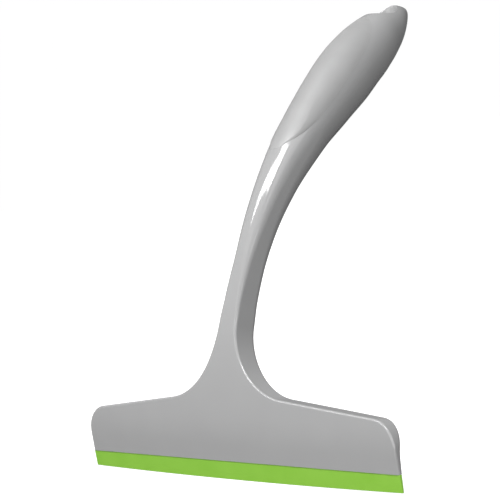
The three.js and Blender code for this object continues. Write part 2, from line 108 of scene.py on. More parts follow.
# The back cover. Its edge lies this far inside the outline, and its upper end is a round arch.
COVER_MARGIN = 0.0026
COVER_END_MARGIN = 0.0034       # the same at the ends of the head
COVER_MARGIN_RATIO = 0.32       # the same on the grip, as a share of the half width
COVER_MARGIN_START = 0.075
COVER_END = 0.262
COVER_END_ROUNDING = 0.012
COVER_THICKNESS = 0.0022
SEAM_GAP = 0.0003
SEAM_ROUNDING = 0.0003
UNDER_COVER = 0.0003

# The jaw at the foot of the head, and the lip that it holds.
JAW_HEIGHT = 0.0124
JAW_FRONT = 0.0008
JAW_BACK = 0.0022
WEB_FRONT = 0.0011
WEB_BACK = 0.0019
LIP_THICKNESS = 0.0016
LIP_MIDDLE = 0.0011
LIP_EDGE_FRONT = 0.0004
LIP_EDGE_BACK = 0.0013
LIP_DROP = 0.0086
LIP_ARCH = 0.0011
LIP_CORNER = 0.0003
LIP_EDGE_CORNER = 0.00012
LIP_END_ROUNDING = 0.0002
LIP_END_THICKNESS = 0.86        # thickness of its very ends, as a share of the rest
SHOULDER_GAP = 0.00005
BEAD_RISE = 0.0094              # the bead's centre over the jaw's mouth
BEAD_RADIUS = 0.00065
BEAD_TURN = 0.8 * math.pi       # how far round the bead goes before it meets the web
WEB_LEVELS = (0.0082, 0.0006, 0.0001)       # rows of points down the web, over the jaw's mouth

# The soft pad over the front of the grip: the distance along the front line and how far behind it the
# pad's edge runs there, down the sides of the grip.
PAD_EDGE = [
    (0.1672, 0), (0.1705, 0.00095), (0.1755, 0.0034), (0.1814, 0.006), (0.1913, 0.0088), (0.210, 0.0112),
    (0.230, 0.0112), (0.250, 0.0088), (0.262, 0.004), (0.269, 0),
]
PAD_START = PAD_EDGE[0][0]
PAD_END = PAD_EDGE[-1][0]
PAD_SPINE = (PAD_START + 0.012, PAD_END - 0.020)        # the line that the pad's rows are drawn in to
PAD_FLANK = [
    (0.1672, 0.0005), (0.170, 0.0006), (0.172, 0.0008), (0.178, 0.002), (0.184, 0.0035), (0.198, 0.008),
]
PAD_PROUD = [
    (0.1672, 0.00005), (0.170, 0.00014), (0.173, 0.0003), (0.179, 0.00045), (0.188, 0.0004), (0.205, 0.0001),
    (PAD_END, 0.00001),
]
PAD_MIDDLE_SHARE = 0.25     # how proud its middle is, as a share of the crest along its flank
PAD_FLANK_POWER = 1.4       # how straight the flank rises before it turns on to the top
PAD_FLANK_SHARE = 0.8       # the most of the way to the spine that the flank takes up
PAD_RECESS = 0.0014
PAD_UNDERSIDE = 0.00126     # how deep the pad goes into its recess
PAD_CUT_HEIGHT = 0.002      # how far the recess's cutter reaches out of the grip
PAD_EDGE_ROUNDING = 0.00003
PAD_MOUTH_ROUNDING = [(0.1672, 0.00012), (0.184, 0.00006), (0.200, 0.00002)]
PAD_GAP = 0.00001

# The hanging hole, upright through the tip, and the ball-shaped dish around its mouth.
HOLE_S = 0.284
HOLE_HALF_X = 0.005
HOLE_HALF_Y = 0.0056
DISH_HALF = (0.0084, 0.0098, 0.012)
DISH_RISE = 0.001
RIM_ROUNDING = 0.0004
HOLE_CUT_ABOVE = 0.02           # how far the cutter reaches over and under the mouth
HOLE_CUT_BELOW = 0.05
HOLE_CUT_FLARE = 3              # how far outside the mouth its top reaches, in roundings
TIP_SEARCH_START = 0.22         # the hole's rims lie between here and the tip

# Countersunk screws: node, x, s and length.
SCREWS = [
    ("screw_head_left", -0.066, 0.021, 0.005),
    ("screw_head_right", 0.066, 0.021, 0.005),
    ("screw_neck", 0, 0.047, 0.008),
    ("screw_grip", 0, 0.205, 0.014),
]
SCREW_HEAD_RADIUS = 0.0028
SCREW_HEAD_HEIGHT = 0.0016
SCREW_SHANK_RADIUS = 0.0014
SCREW_SINK = 0.0003
SCREW_GAP = 0.00025
SCREW_CROWN = 0.00005           # how far the head's rim lies under its middle
SCREW_RIM_ROUNDING = 0.00018
SEAT_CUT_HEIGHT = 0.003
THREAD_PITCH = 0.0009
THREAD_RUNOUT = 0.0006          # plain shank under the head
THREAD_ROOT = 0.76              # the thread's inner radius, as a share of its outer radius
THREAD_SHAPE = (0.35, 0.6, 0.95)        # where a turn leaves its root, crests and comes back, in pitches
CROSS_REACH = 0.0017
CROSS_HALF_WIDTH = 0.00036
CROSS_DEPTH = 0.0014
CROSS_FLOOR_REACH = 0.45        # size of the cross at its floor, as a share of its mouth
CROSS_FLOOR_WIDTH = 0.78

# The studio: softboxes as name, sideways shift, azimuth, elevation, distance, size and power in watts.
# Azimuth 0 is in front of the object and 90 to its right.
WORLD_GLOW = 0.18
STAGE_GLOW = 1.0
STAGE_REACH = 3.0
FLOOR_GAP = 0.0001
LIGHT_AIM = Vector((0, 0.07, 0.10))
LIGHTS = [
    ("Key_strip", -0.5, 0, 59.7, 1.5, (2.11, 0.22), 18),
    ("Key_end", 0.14, 0, 62.7, 1.5, (0.8, 0.25), 8),
    ("Above", 0, 0, 85, 1.5, (1, 1), 2.3),
    ("By_camera", 0, 50, 10, 1.5, (1, 1), 10.7),
    ("Right_fill", 0, 80, 50, 1.5, (1, 1), 3.3),
    ("Front_fill", 0, 0, 15, 1.5, (1, 1), 6.1),
]
BACK_FILL = ("Back_fill", 0, 230, 30, 1.5, (1, 1), 9)      # it throws no highlights

# The camera, in metres, degrees and millimetres of lens.
CAMERA_TARGET = Vector((0.01091, 0.028, 0.09906))
CAMERA_AZIMUTH = 50.13
CAMERA_ELEVATION = 5.31
CAMERA_ROLL = 10.09
CAMERA_DISTANCE = 0.8597
CAMERA_LENS = 122.4
CAMERA_CLIP = (0.05, 20)

# Noise from a texture mostly lies in this range. It is spread over the range that a material asks for.
NOISE_RANGE = (0.3, 0.7)

# The corners of a square, in order round it.
SQUARE_CORNERS = ((-1, -1), (1, -1), (1, 1), (-1, 1))

# Fineness of the surfaces.
WELD = 0.000001             # points closer than this are one point
CLEAR = 0.00001             # how far a cutter's edge stays clear of the face it meets
LEAST_HALF = 0.00001        # the tip is never thinner than this
SHARP_DEGREES = 32
ROW_STEP = 0.0013
CORNER_STEPS = 22
TOP_STEPS = 24
FILLET_STEPS = 44
ARCH_STEPS = 24
TIP_STEPS = 30
COVER_STEPS = 10
ROUND_STEPS = 14
BACK_STEPS = 12
SEAM_STEPS = 4
UNDER_STEPS = 8
PAD_ROWS = 140
PAD_RINGS = 10
PAD_FOOT_STEPS = 4
HOLE_SIDES = 96
MOUTH_STEPS = 8
RIM_STEPS = 6
DISH_STEPS = 14
HALVINGS = 40
SCREW_SIDES = 64
BEAD_STEPS = 6
LIP_ROWS = 9
LIP_COLUMNS = 120
SURROUND_SIDES = 32
SURROUND_RINGS = 16

# ---------------------------------------------------------------- curves


def smooth_through(table):
    """A smooth curve through a table's points that never overshoots them."""
    rise = [(b[1] - a[1]) / (b[0] - a[0]) for a, b in zip(table, table[1:])]
    slope = [rise[0]]
    for before, after in zip(rise, rise[1:]):
        slope.append(0 if before * after <= 0 else 2 * before * after / (before + after))
    slope.append(rise[-1])

    @lru_cache(maxsize=None)
    def curve(s):
        if s <= table[0][0]:
            return table[0][1]
        if s >= table[-1][0]:
            return table[-1][1]
        i = max(k for k in range(len(table)) if table[k][0] <= s)
        (s0, v0), (s1, v1) = table[i], table[i + 1]
        t = (s - s0) / (s1 - s0)
        near = (1 + 2 * t) * (1 - t) ** 2 * v0 + t * t * (3 - 2 * t) * v1
        return near + (s1 - s0) * (t * (1 - t) ** 2 * slope[i] - t * t * (1 - t) * slope[i + 1])

    return curve


depth_at = smooth_through(DEPTH)
grip_half_at = smooth_through(HALF_WIDTH)
front_rounding_at = smooth_through(FRONT_ROUNDING)
back_rounding_at = smooth_through(BACK_ROUNDING)
pad_edge_at = smooth_through(PAD_EDGE)
pad_flank_at = smooth_through(PAD_FLANK)
pad_proud_at = smooth_through(PAD_PROUD)
pad_mouth_at = smooth_through(PAD_MOUTH_ROUNDING)


@lru_cache(maxsize=None)
def front_line(s):
    """(y, z, lean) of the front line at s."""
    y, z, lean = 0.0, HEAD_BOTTOM + min(s, 0), 0.0
    for (start, lean0), (end, lean1) in zip(FRONT_LEAN, FRONT_LEAN[1:]):
        if s <= start:
            break
        part = min(1, (s - start) / (end - start))
        turn0 = math.radians(lean0)
        lean = math.radians(lean0 + (lean1 - lean0) * part)
        length = part * (end - start)
        if lean1 == lean0:
            y += math.sin(lean) * length
            z += math.cos(lean) * length
        else:
            radius = length / (lean - turn0)
            y += radius * (math.cos(turn0) - math.cos(lean))
            z += radius * (math.sin(lean) - math.sin(turn0))
    return y, z, lean


def place(x, s, e):
    """From (x, s, e) to a point in space."""
    y, z, lean = front_line(s)
    return Vector((x, y + e * math.cos(lean), z - e * math.sin(lean)))


@lru_cache(maxsize=None)
def tip_share(s):
    """How much of the section is left as the tip closes: 1 along the handle, 0 at the tip."""
    into = max(0, (s - HANDLE_LENGTH + TIP_ROUNDING) / TIP_ROUNDING)
    return math.sqrt(max(0, 1 - into**TIP_POWER))


def half_at(s):
    """Half the width of the neck and grip, with the tip closed."""
    return grip_half_at(s) * tip_share(s)


def edge_drop(inset, rounding, half, depth):
    """How far the surface lies under the face, at this distance inside the outline."""
    reach = min(rounding, half)
    drop = min(rounding, depth / 2)
    if inset >= reach:
        return 0
    return drop * (1 - math.sqrt(max(0, 1 - (1 - inset / reach) ** 2)))


def closed(e, s):
    """Depth e, drawn in towards the middle as the tip closes."""
    middle = depth_at(s) / 2
    return middle + (e - middle) * tip_share(s)


def front_e(inset, s, half):
    """Depth of the front surface, at this distance inside the outline."""
    return closed(edge_drop(inset, front_rounding_at(s), half, depth_at(s)), s)


def back_e(inset, s, half):
    """Depth of the back surface, at this distance inside the outline."""
    depth = depth_at(s)
    return closed(depth - edge_drop(inset, back_rounding_at(s), half, depth), s)


def front_corner(s):
    """The front of a section: half its flat middle, the oval corner's width and depth, and their mean."""
    half = grip_half_at(s)
    across = min(front_rounding_at(s), half)
    deep = min(front_rounding_at(s), depth_at(s) / 2)
    return half - across, across, deep, (across + deep) / 2


def front_place(q, s, lift):
    """A place on the front of the grip: q from the centre line, round the section, and `lift` off it."""
    flat, across, deep, around = front_corner(s)
    turn = max(0, abs(q) - flat) / around
    out = Vector((deep * math.sin(turn), -across * math.cos(turn))).normalized()
    x = min(abs(q), flat) + across * math.sin(turn) + lift * out.x
    e = deep * (1 - math.cos(turn)) + lift * out.y
    return place(math.copysign(x, q), s, e)


# ---------------------------------------------------------------- the outline in front view


def cover_margin(s):
    """How far inside the outline the cover's edge lies."""
    if s < COVER_MARGIN_START:
        return COVER_MARGIN
    return max(COVER_MARGIN, COVER_MARGIN_RATIO * grip_half_at(s))


def outline_row(x, s, out_x=1.0, out_s=0.0, margin=None):
    """One place on the outline, the way straight out of it, and how far in the cover's edge lies."""
    return {"x": x, "s": s, "out": (out_x, out_s), "margin": cover_margin(s) if margin is None else margin}


TOP_ANGLE = math.atan(TOP_SLOPE)
CORNER_X = HEAD_HALF - CORNER_RADIUS
CORNER_S = TOP_AT_CENTRE - TOP_SLOPE * CORNER_X - CORNER_RADIUS / math.cos(TOP_ANGLE)
FILLET_X = HALF_WIDTH[0][1] + FILLET_RADIUS
FILLET_S = TOP_AT_CENTRE - TOP_SLOPE * FILLET_X + FILLET_RADIUS / math.cos(TOP_ANGLE)


def head_outline():
    """The right-hand half of the head, from its bottom corner to the top of the fillet."""
    rows = []
    end_steps = round(CORNER_S / ROW_STEP)
    for i in range(end_steps):
        rows.append(outline_row(HEAD_HALF, CORNER_S * i / end_steps, margin=COVER_END_MARGIN))

    for i in range(CORNER_STEPS + 1):
        angle = (math.pi / 2 - TOP_ANGLE) * i / CORNER_STEPS
        margin = COVER_END_MARGIN + (COVER_MARGIN - COVER_END_MARGIN) * i / CORNER_STEPS
        x = CORNER_X + CORNER_RADIUS * math.cos(angle)
        s = CORNER_S + CORNER_RADIUS * math.sin(angle)
        rows.append(outline_row(x, s, math.cos(angle), math.sin(angle), margin))

    top_end = FILLET_X - FILLET_RADIUS * math.sin(TOP_ANGLE)
    top_start = rows[-1]["x"]
    for i in range(1, TOP_STEPS):
        x = top_start + (top_end - top_start) * i / TOP_STEPS
        rows.append(outline_row(x, TOP_AT_CENTRE - TOP_SLOPE * x, math.sin(TOP_ANGLE), math.cos(TOP_ANGLE)))

    for i in range(FILLET_STEPS + 1):
        angle = -math.pi / 2 - TOP_ANGLE - (math.pi / 2 - TOP_ANGLE) * i / FILLET_STEPS
        x = FILLET_X + FILLET_RADIUS * math.cos(angle)
        s = FILLET_S + FILLET_RADIUS * math.sin(angle)
        rows.append(outline_row(x, s, -math.cos(angle), -math.sin(angle)))
    return rows


def grip_outline():
    """The right-hand half of the neck and grip, from the fillet to the tip, past the cover's arched end."""
    rows = []
    arch_start = COVER_END - COVER_END_ROUNDING
    grip_steps = round((arch_start - FILLET_S) / ROW_STEP)
    for i in range(1, grip_steps):
        s = FILLET_S + (arch_start - FILLET_S) * i / grip_steps
        rows.append(outline_row(grip_half_at(s), s))

    arch_reach = COVER_END_ROUNDING + SEAM_GAP + SEAM_ROUNDING
    for i in range(ARCH_STEPS + 1):
        angle = math.pi / 2 * i / ARCH_STEPS
        s = arch_start + arch_reach * math.sin(angle)
        row = outline_row(grip_half_at(s), s)
        row["arch"] = angle
        rows.append(row)

    tip_start = HANDLE_LENGTH - TIP_ROUNDING
    over_start = rows[-1]["s"]
    over_steps = round((tip_start - over_start) / ROW_STEP)
    for i in range(1, over_steps):
        s = over_start + (tip_start - over_start) * i / over_steps
        rows.append(outline_row(half_at(s), s))

    for i in range(TIP_STEPS + 1):
        s = tip_start + TIP_ROUNDING * math.sin(math.pi / 2 * i / TIP_STEPS)
        rows.append(outline_row(half_at(s), s))
    return rows


ROWS = head_outline() + grip_outline()
COVERED = [row for row in ROWS if row["s"] <= COVER_END + SEAM_GAP + SEAM_ROUNDING + WELD]


def inwards(row, inset):
    """The place this far inside the outline: (x, s)."""
    out_x, out_s = row["out"]
    return max(0.0, row["x"] - inset * out_x), row["s"] - inset * out_s


def seam_place(row, out):
    """The place this far outside the cover's edge: (x, s, distance inside the outline)."""
    if "arch" not in row:
        inset = row["margin"] - out
        x, s = inwards(row, inset)
        return x, s, inset
    reach = COVER_END_ROUNDING + out
    s = COVER_END - COVER_END_ROUNDING + reach * math.sin(row["arch"])
    straight = grip_half_at(s) - cover_margin(s)
    x = (straight + out) * math.cos(row["arch"])
    return x, s, grip_half_at(s) - x


# ---------------------------------------------------------------- meshes


def mesh_object(name, points, faces):
    """A mesh object, with doubled points welded and faces turned outwards."""
    mesh = bpy.data.meshes.new(name)
    mesh.from_pydata([tuple(p) for p in points], [], faces)
    work = bmesh.new()
    work.from_mesh(mesh)
    bmesh.ops.remove_doubles(work, verts=work.verts, dist=WELD)
    bmesh.ops.dissolve_degenerate(work, edges=work.edges, dist=WELD)
    bmesh.ops.recalc_face_normals(work, faces=work.faces)
    work.to_mesh(mesh)
    work.free()
    piece = bpy.data.objects.new(name, mesh)
    bpy.context.scene.collection.objects.link(piece)
    return piece


def skin(loops, cap_start=True, cap_end=True):
    """Points and faces of a skin over closed loops that all have the same number of points."""
    size = len(loops[0])
    points = [p for loop in loops for p in loop]
    faces = []
    for row in range(len(loops) - 1):
        for i in range(size):
            a = row * size + i
            b = row * size + (i + 1) % size
            faces.append((a, b, b + size, a + size))
    last = (len(loops) - 1) * size
    if cap_start:
        faces.append(tuple(range(size - 1, -1, -1)))
    if cap_end:
        faces.append(tuple(range(last, last + size)))
    return points, faces


def cut(piece, cutters):
    """Takes the cutters out of the piece and removes them."""
    for cutter in cutters:
        step = piece.modifiers.new("cut", "BOOLEAN")
        step.operation = "DIFFERENCE"
        step.solver = "EXACT"
        step.object = cutter
    bpy.context.view_layer.update()
    finished = bpy.data.meshes.new_from_object(piece.evaluated_get(bpy.context.evaluated_depsgraph_get()))
    piece.modifiers.clear()
    piece.data = finished
    for cutter in cutters:
        bpy.data.objects.remove(cutter)


def finish_surface(piece, material):
    """Smooth shading with crisp edges, and the material."""
    mesh = piece.data
    mesh.shade_smooth()
    mesh.set_sharp_from_angle(angle=math.radians(SHARP_DEGREES))
    mesh.materials.clear()
    mesh.materials.append(material)
    weighted = piece.modifiers.new("normals", "WEIGHTED_NORMAL")
    weighted.keep_sharp = True
    return piece


def stand(x, s, e):
    """A frame on the handle: its Y axis points out of the back and its Z axis up the handle."""
    lean = front_line(s)[2]
    matrix = Matrix((
        (1, 0, 0),
        (0, math.cos(lean), math.sin(lean)),
        (0, -math.sin(lean), math.cos(lean)),
    )).to_4x4()
    matrix.translation = place(x, s, e)
    return matrix


# ---------------------------------------------------------------- the handle's two shells


def front_columns(row):
    """(x, s, e) over the front, from the centre line to the side wall."""
    half = row["x"]
    reach = min(front_rounding_at(row["s"]), half)
    x, s = inwards(row, reach)
    columns = []
    for share in (0, 0.5):      # over the flat middle, as far as the rounding
        columns.append((x * share, s, front_e(reach + x * (1 - share), s, half)))
    for k in range(ROUND_STEPS + 1):
        inset = reach * (1 - k / ROUND_STEPS) ** 2
        x, s = inwards(row, inset)
        columns.append((x, s, front_e(inset, s, half)))
    return columns


def side_columns(row):
    """One place halfway up the side wall."""
    x, s = inwards(row, 0)
    front = front_e(0, s, row["x"])
    back = back_e(0, s, row["x"])
    return [(x, s, (front + back) / 2)]


def outer_back_columns(row, limit):
    """(x, s, e) over the back, from the side wall to `limit` inside the outline, or to the centre line."""
    half = row["x"]
    end_x, end_s, end_inset = (0, row["s"], half) if limit is None else seam_place(row, limit)
    columns = []
    for k in range(BACK_STEPS + 1):
        share = (k / BACK_STEPS) ** 2
        x = half + (end_x - half) * share
        s = row["s"] + (end_s - row["s"]) * share
        columns.append((max(0, x), s, back_e(end_inset * share, s, half)))
    return columns


def hidden_columns(row, out, gap):
    """The hidden face between body and cover, from the cover's edge to the centre line."""
    x, s, inset = seam_place(row, out)
    columns = []
    for k in range(UNDER_STEPS + 1):
        share = k / UNDER_STEPS
        e = back_e(inset + x * share, s, row["x"]) - COVER_THICKNESS - gap
        if s < JAW_HEIGHT:      # here the body's face and the cover's are the two sides of the jaw
            e = JAW_FRONT if gap else JAW_BACK
        columns.append((x * (1 - share), s, e))
    return columns


def body_recess_columns(row):
    """The rounded rim of the recess, its wall and its floor as far as the centre line."""
    half = row["x"]
    columns = []
    for k in range(1, SEAM_STEPS + 1):
        angle = math.pi / 2 * k / SEAM_STEPS
        x, s, inset = seam_place(row, SEAM_GAP + SEAM_ROUNDING * (1 - math.sin(angle)))
        columns.append((x, s, back_e(inset, s, half) - SEAM_ROUNDING * (1 - math.cos(angle))))
    return columns + hidden_columns(row, SEAM_GAP, UNDER_COVER)


def both_sides(right):
    """A closed loop in space from the columns of the right half."""
    left = [(-x, s, e) for x, s, e in reversed(right)]
    return [place(*column) for column in right + left]


def handle_body_mesh():
    """The front shell of the handle, with the recess for the back cover."""
    open_loops = []
    for row in COVERED:
        columns = front_columns(row) + side_columns(row)
        columns += outer_back_columns(row, SEAM_GAP + SEAM_ROUNDING) + body_recess_columns(row)
        open_loops.append(both_sides(columns))
    closed_loops = []
    for row in ROWS[len(COVERED) - 1:]:
        limit = SEAM_GAP + SEAM_ROUNDING if "arch" in row else None
        columns = front_columns(row) + side_columns(row) + outer_back_columns(row, limit)
        closed_loops.append(both_sides(columns))
    points, faces = skin(open_loops, cap_end=False)
    more_points, more_faces = skin(closed_loops, cap_start=False, cap_end=False)
    shift = len(points)
    faces += [tuple(i + shift for i in face) for face in more_faces]
    return mesh_object("Handle_front_shell", points + more_points, faces)


def cover_mesh():
    """The back cover: its outer face, rounded edge and hidden inner face."""
    loops = []
    for row in COVERED:
        half = row["x"]
        x, s, inset = seam_place(row, -SEAM_ROUNDING)
        right = []
        for k in range(COVER_STEPS):
            share = k / COVER_STEPS
            right.append((x * share, s, back_e(inset + x * (1 - share), s, half)))
        for k in range(SEAM_STEPS, -1, -1):
            angle = math.pi / 2 * k / SEAM_STEPS
            x, s, inset = seam_place(row, -SEAM_ROUNDING * (1 - math.cos(math.pi / 2 - angle)))
            right.append((x, s, back_e(inset, s, half) - SEAM_ROUNDING * (1 - math.sin(angle))))
        loops.append(both_sides(right + hidden_columns(row, 0, 0)))
    points, faces = skin(loops, cap_end=False)
    return mesh_object("Back_cover_shell", points, faces)


# ---------------------------------------------------------------- thumb pad


def pad_outline():
    """The pad's outline, closed, as (q, s, place on the spine): q is measured round the section."""
    right = []
    foot_flat = front_corner(PAD_START)[0]
    for k in range(PAD_FOOT_STEPS):
        right.append((foot_flat * k / PAD_FOOT_STEPS, PAD_START))
    for k in range(PAD_ROWS + 1):
        s = PAD_START + (PAD_END - PAD_START) * (1 - math.cos(math.pi * k / PAD_ROWS)) / 2
        flat, _, deep, around = front_corner(s)
        right.append((flat + around * math.acos(1 - pad_edge_at(s) / deep), s))
    left = [(-q, s) for q, s in reversed(right[1:-1])]
    return [(q, s, min(max(s, PAD_SPINE[0]), PAD_SPINE[1])) for q, s in right + left]


PAD_OUTLINE = pad_outline()


def pad_ring(inwards_by, lift):
    """A ring drawn in towards the spine: both arguments take (edge's s, distance to the spine) first."""
    ring = []
    for q, s, spine in PAD_OUTLINE:
        way = Vector((-q, spine - s))
        far = way.length
        reach = inwards_by(s, far)
        there = Vector((q, s)) + way * (reach / far)
        ring.append(front_place(there.x, there.y, lift(s, far, there.y)))
    return ring


def flank(s, far):
    """How wide the pad's rising edge is."""
    return min(pad_flank_at(s), PAD_FLANK_SHARE * far)


def pad_lift(reach, s, far, s_there):
    """How far the pad stands out of the grip at this distance from its edge."""
    rise = min(1, reach / flank(s, far))
    inside = max(0, reach - flank(s, far)) / (far - flank(s, far))
    crest = PAD_MIDDLE_SHARE + (1 - PAD_MIDDLE_SHARE) * (1 - inside) ** 2
    return pad_proud_at(s_there) * crest * (1 - (1 - rise) ** PAD_FLANK_POWER)


def ring_at(reach_of, drop):
    """A ring of the pad's top, `drop` under it."""
    return pad_ring(reach_of, lambda s, far, there: pad_lift(reach_of(s, far), s, far, there) - drop)


def level_rings(level, out):
    """Rings at one level over or under the grip's face, from the edge to the spine."""
    rings = []
    for k in range(PAD_RINGS + 1):
        share = k / PAD_RINGS
        rings.append(pad_ring(lambda s, far: (far + out) * share - out, lambda s, far, there: level))
    return rings


def thumb_pad_mesh():
    """The pad: its underside, its rounded edge, the flank that rises from it and its top."""
    rings = level_rings(-PAD_UNDERSIDE, 0)[::-1]
    for k in range(SEAM_STEPS, -1, -1):
        angle = math.pi / 2 * k / SEAM_STEPS
        reach = PAD_EDGE_ROUNDING * (1 - math.sin(angle))
        drop = PAD_EDGE_ROUNDING * (1 - math.cos(angle))
        rings.append(ring_at(lambda s, far: reach, drop))
    for k in range(1, PAD_RINGS + 1):
        rings.append(ring_at(
            lambda s, far: PAD_EDGE_ROUNDING + (flank(s, far) - PAD_EDGE_ROUNDING) * k / PAD_RINGS, 0,
        ))
    for k in range(1, PAD_RINGS + 1):
        rings.append(ring_at(lambda s, far: flank(s, far) + (far - flank(s, far)) * k / PAD_RINGS, 0))
    points, faces = skin(rings, cap_start=False, cap_end=False)
    return mesh_object("Thumb_pad_soft", points, faces)


def pad_cutter():
    """The recess for the pad, with a rounded mouth that is softest at the pad's foot."""
    rings = level_rings(PAD_CUT_HEIGHT, PAD_GAP)[:0:-1]
    rings.append(pad_ring(lambda s, far: -PAD_GAP - pad_mouth_at(s), lambda s, far, there: PAD_CUT_HEIGHT))
    for k in range(SEAM_STEPS + 1):
        angle = math.pi / 2 * k / SEAM_STEPS
        rings.append(pad_ring(
            lambda s, far: -PAD_GAP - pad_mouth_at(s) * (1 - math.sin(angle)),
            lambda s, far, there: CLEAR - pad_mouth_at(s) * (1 - math.cos(angle)),
        ))
    rings += level_rings(-PAD_RECESS, PAD_GAP)
    points, faces = skin(rings, cap_start=False, cap_end=False)
    return mesh_object("pad_cutter", points, faces)


# ---------------------------------------------------------------- hanging hole


def crossing(low, high, holds):
    """Where a test that holds at `low`, and not at `high`, stops holding."""
    for _ in range(HALVINGS):
        middle = (low + high) / 2
        if holds(middle):
            low = middle
        else:
            high = middle
    return low


def tip_surface(x, s, back):
    """A place on the tip's lower (back) or upper (front) face."""
    half = max(half_at(s), LEAST_HALF)
    inset = max(0, half - abs(x))
    return place(x, s, back_e(inset, s, half) if back else front_e(inset, s, half))


def height_over(x, y, back):
    """Height of the tip's lower (back) or upper (front) face over the place (x, y)."""
    s = crossing(TIP_SEARCH_START, HANDLE_LENGTH, lambda s: tip_surface(x, s, back).y < y)
    return tip_surface(x, s, back).z


def blend_corner(start, corner, end, steps):
    """Points on a curve from start to end that rounds off the corner."""
    points = []
    for k in range(steps + 1):
        t = k / steps
        points.append(start * (1 - t) ** 2 + corner * 2 * t * (1 - t) + end * t * t)
    return points


def hole_profile(angle, centre):
    """One upright half section of the hole and dish, from above the tip to below it."""
    way = Vector((HOLE_HALF_X * math.cos(angle), HOLE_HALF_Y * math.sin(angle), 0))
    hole_reach = way.length
    way.normalize()
    dish_reach = 1 / math.hypot(way.x / DISH_HALF[0], way.y / DISH_HALF[1])

    def at(reach, z):
        return Vector((centre.x, centre.y, z)) + way * reach

    def dish(reach):
        share = min(1, reach / dish_reach)
        return at(reach, centre.z + DISH_RISE - DISH_HALF[2] * math.sqrt(1 - share**2))

    def face(reach, back):
        spot = at(reach, 0)
        return at(reach, height_over(spot.x, spot.y, back))

    mouth = crossing(hole_reach, dish_reach, lambda reach: dish(reach).z < face(reach, False).z)
    inner = hole_reach + RIM_ROUNDING
    above = centre.z + HOLE_CUT_ABOVE
    below = centre.z - HOLE_CUT_BELOW
    profile = [at(0, above), at(mouth + HOLE_CUT_FLARE * RIM_ROUNDING, above)]

    rim = face(mouth + RIM_ROUNDING, False) + Vector((0, 0, CLEAR))
    profile += blend_corner(rim, dish(mouth), dish(mouth - RIM_ROUNDING), MOUTH_STEPS)
    for k in range(1, DISH_STEPS):
        profile.append(dish(mouth - RIM_ROUNDING + (inner - mouth + RIM_ROUNDING) * k / DISH_STEPS))

    edge = dish(hole_reach)
    profile += blend_corner(dish(inner), edge, edge - Vector((0, 0, RIM_ROUNDING)), RIM_STEPS)
    exit_edge = face(hole_reach, True)
    exit_rim = face(inner, True) - Vector((0, 0, CLEAR))
    profile += blend_corner(exit_edge + Vector((0, 0, RIM_ROUNDING)), exit_edge, exit_rim, RIM_STEPS)
    profile += [at(inner, below), at(0, below)]
    return profile


def hole_cutter():
    """What the hanging hole and its dish take out of the tip."""
    centre = place(0, HOLE_S, 0)
    sections = [hole_profile(2 * math.pi * k / HOLE_SIDES, centre) for k in range(HOLE_SIDES)]
    rings = [list(ring) for ring in zip(*sections)]
    points, faces = skin(rings, cap_start=False, cap_end=False)
    return mesh_object("hole_cutter", points, faces)


# ---------------------------------------------------------------- screws


def turned(profile, sides, matrix):
    """A round solid from (radius, height) pairs, its axis along the frame's Y."""
    rings = []
    for radius, height in profile:
        ring = []
        for k in range(sides):
            angle = 2 * math.pi * k / sides
            ring.append(matrix @ Vector((radius * math.cos(angle), height, radius * math.sin(angle))))
        rings.append(ring)
    return skin(rings, cap_start=False, cap_end=False)


def arc(radius, height, rounding):
    """Quarter round from the side of a cylinder on to its flat end."""
    pairs = []
    for k in range(SEAM_STEPS + 1):
        angle = math.pi / 2 * k / SEAM_STEPS
        pairs.append((radius - rounding * (1 - math.cos(angle)), height - rounding * (1 - math.sin(angle))))
    return pairs


def screw_seat(x, s):
    """The countersunk seat in the cover, with a soft mouth."""
    radius = SCREW_HEAD_RADIUS + SCREW_GAP
    bore = SCREW_SHANK_RADIUS + SCREW_GAP
    flare = SCREW_GAP
    profile = [(0, -2 * COVER_THICKNESS), (bore, -2 * COVER_THICKNESS)]
    profile += [(bore, -SCREW_HEAD_HEIGHT), (radius, -SCREW_GAP)]
    for k in range(SEAM_STEPS + 1):
        angle = math.pi / 2 * k / SEAM_STEPS
        profile.append((radius + flare * (1 - math.cos(angle)), SCREW_SINK - flare * (1 - math.sin(angle))))
    profile += [(radius + flare, SEAT_CUT_HEIGHT), (0, SEAT_CUT_HEIGHT)]
    points, faces = turned(profile, SCREW_SIDES, stand(x, s, depth_at(s) - SCREW_SINK))
    return mesh_object("screw_seat", points, faces)


def cross_cutter(matrix):
    """The cross recess: two tapering slots."""
    levels = [(-CROSS_DEPTH, CROSS_FLOOR_REACH, CROSS_FLOOR_WIDTH), (0, 1, 1), (CROSS_DEPTH, 1, 1)]
    cutters = []
    for turn in (0, math.pi / 2):
        rings = []
        for height, reach_share, width_share in levels:
            ring = []
            for sx, sz in SQUARE_CORNERS:
                x = sx * CROSS_REACH * reach_share
                z = sz * CROSS_HALF_WIDTH * width_share
                ring.append(matrix @ (Matrix.Rotation(turn, 3, "Y") @ Vector((x, height, z))))
            rings.append(ring)
        points, faces = skin(rings)
        cutters.append(mesh_object("cross_cutter", points, faces))
    return cutters


def thread_profile(length):
    """(radius, height) pairs up the threaded shank, from its point to its plain end."""
    root = SCREW_SHANK_RADIUS * THREAD_ROOT
    leave, crest, back = THREAD_SHAPE
    turns = int((length - SCREW_HEAD_HEIGHT - THREAD_RUNOUT) / THREAD_PITCH)
    profile = [(0, -length)]
    for k in range(turns):
        base = -length + THREAD_PITCH * k
        grow = min(1, (k + 1) / 2)      # the first turn is half as wide, for the point
        profile.append((root * grow, base + THREAD_PITCH * leave))
        profile.append((SCREW_SHANK_RADIUS * grow, base + THREAD_PITCH * crest))
        profile.append((root * grow, base + THREAD_PITCH * back))
    return profile


